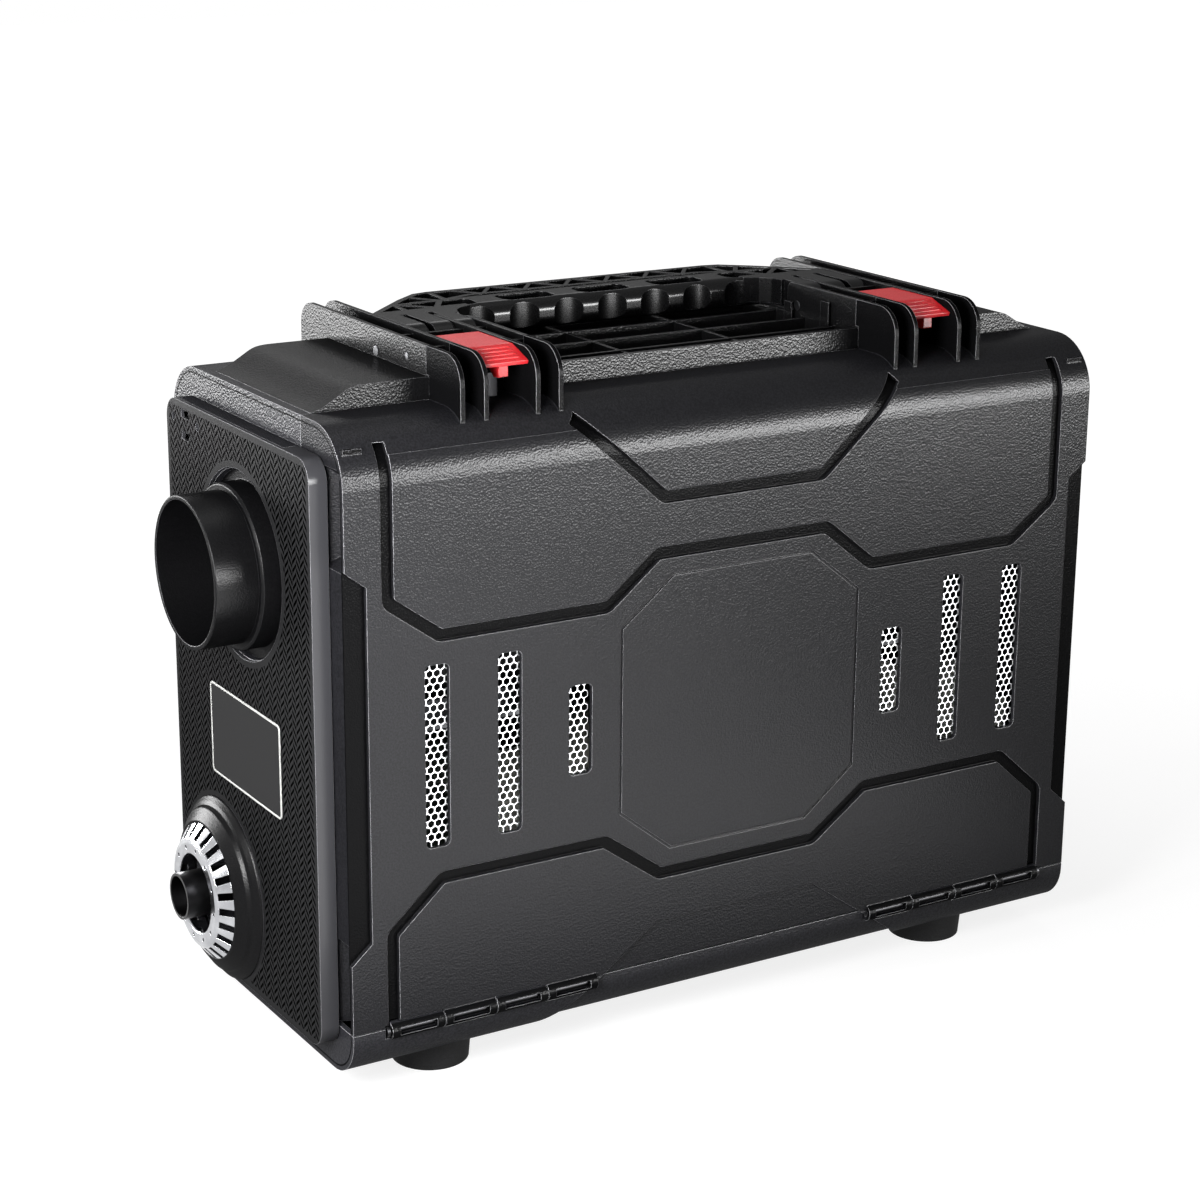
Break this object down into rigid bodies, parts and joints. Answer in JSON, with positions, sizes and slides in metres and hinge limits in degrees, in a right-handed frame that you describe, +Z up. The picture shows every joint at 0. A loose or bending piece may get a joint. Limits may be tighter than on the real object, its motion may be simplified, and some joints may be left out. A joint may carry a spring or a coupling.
{
  "type": "portable diesel air heater",
  "caption": "Portable diesel air heater in a hinged box with a folding carry handle, latches, a warm-air duct outlet and a guarded exhaust.",
  "frame": {"origin": "floor plane under the middle of the outline box", "axes": "+Z up, +X along the length from the duct outlet end to the air inlet end, the vented lid faces -Y"},
  "size_m": [0.485, 0.1982, 0.3635],
  "materials": {
    "shell_plastic": "fine-grained moulded plastic",
    "plate_plastic": "woven-look textured plastic",
    "black_plastic": "smooth black moulding",
    "red_plastic": "bright red gloss moulding",
    "rubber_black": "soft black rubber",
    "steel_bright": "bright steel",
    "steel_guard": "silver-coloured guard",
    "alloy_cast": "cast aluminium",
    "sheet_metal": "painted sheet steel",
    "tank_plastic": "natural polyethylene",
    "fan_plastic": "glass-filled nylon",
    "board_green": "circuit board",
    "window_glass": "clear display window"
  },
  "bodies": {
    "base": {"burner_tube": "steel_bright", "cable_gland": "rubber_black", "combustion_housing": "alloy_cast", "control_board": "board_green", "controller_case": "black_plastic", "controller_screen": "window_glass", "duct_collar": "black_plastic", "duct_spigot": "black_plastic", "end_plate": "plate_plastic", "exhaust_bell": "black_plastic", "exhaust_guard": "steel_guard", "exhaust_pipe": "steel_bright", "exhaust_stub": "sheet_metal", "fan_guard": "black_plastic", "feed_line": "rubber_black", "foot_front_left": "rubber_black", "foot_front_right": "rubber_black", "foot_rear_left": "rubber_black", "foot_rear_right": "rubber_black", "fuel_filter": "tank_plastic", "fuel_inlet": "steel_bright", "fuel_pump": "steel_bright", "fuel_tank": "tank_plastic", "glow_plug": "steel_bright", "handle_pin_left": "steel_bright", "handle_pin_right": "steel_bright", "heat_exchanger": "alloy_cast", "heater_case_lower": "black_plastic", "heater_case_upper": "black_plastic", "heater_shelf": "sheet_metal", "hinge_pin_left": "steel_bright", "hinge_pin_right": "steel_bright", "inlet_grille": "black_plastic", "intake_hose": "rubber_black", "intake_silencer": "black_plastic", "latch_pin_left": "steel_bright", "latch_pin_right": "steel_bright", "lid_gasket": "rubber_black", "motor": "steel_bright", "pressure_line": "rubber_black", "pump_mount": "rubber_black", "rear_housing": "shell_plastic", "suction_line": "rubber_black", "tank_pickup": "steel_bright", "top_deck": "shell_plastic"},
    "lid": {"front_lid": "shell_plastic", "latch_catch": "sheet_metal", "vent_mesh_left": "steel_guard", "vent_mesh_right": "steel_guard"},
    "handle": {"handle": "plate_plastic"},
    "latch_left": {"latch_left": "red_plastic"},
    "latch_right": {"latch_right": "red_plastic"},
    "rotor": {"motor_shaft": "steel_bright", "fan_impeller": "fan_plastic", "combustion_wheel": "alloy_cast"},
    "tank_cap": {"tank_cap": "black_plastic"},
    "power_key": {"button_power": "red_plastic"},
    "down_key": {"button_down": "rubber_black"},
    "up_key": {"button_up": "rubber_black"},
    "confirm_key": {"button_confirm": "rubber_black"}
  },
  "joints": [
    {"name": "lid_hinge", "type": "hinge", "parent": "base", "child": "lid", "pos_m": [0.0165, -0.09465, 0.0399], "axis": [1, 0, 0], "range_deg": [0, 90]},
    {"name": "handle_pivot", "type": "hinge", "parent": "base", "child": "handle", "pos_m": [0.0165, 0.00205, 0.3518], "axis": [1, 0, 0], "range_deg": [0, 90]},
    {"name": "latch_left_pivot", "type": "hinge", "parent": "base", "child": "latch_left", "pos_m": [-0.1089, -0.03085, 0.3553], "axis": [-1, 0, 0], "range_deg": [0, 60]},
    {"name": "latch_right_pivot", "type": "hinge", "parent": "base", "child": "latch_right", "pos_m": [0.1419, -0.03085, 0.3553], "axis": [-1, 0, 0], "range_deg": [0, 60]},
    {"name": "rotor_spin", "type": "hinge", "parent": "base", "child": "rotor", "pos_m": [0.0665, -0.00195, 0.255], "axis": [1, 0, 0], "continuous": true},
    {"name": "tank_cap_turn", "type": "hinge", "parent": "base", "child": "tank_cap", "pos_m": [0.1885, 0.03205, 0.2885], "axis": [0, 0, 1], "continuous": true},
    {"name": "power_key_press", "type": "slide", "parent": "base", "child": "power_key", "axis": [0, 1, 0], "range_m": [0, 0.0008], "stiffness_N_per_m": 400},
    {"name": "down_key_press", "type": "slide", "parent": "base", "child": "down_key", "axis": [0, 1, 0], "range_m": [0, 0.0008], "stiffness_N_per_m": 400},
    {"name": "up_key_press", "type": "slide", "parent": "base", "child": "up_key", "axis": [0, 1, 0], "range_m": [0, 0.0008], "stiffness_N_per_m": 400},
    {"name": "confirm_key_press", "type": "slide", "parent": "base", "child": "confirm_key", "axis": [0, 1, 0], "range_m": [0, 0.0008], "stiffness_N_per_m": 400}
  ]
}
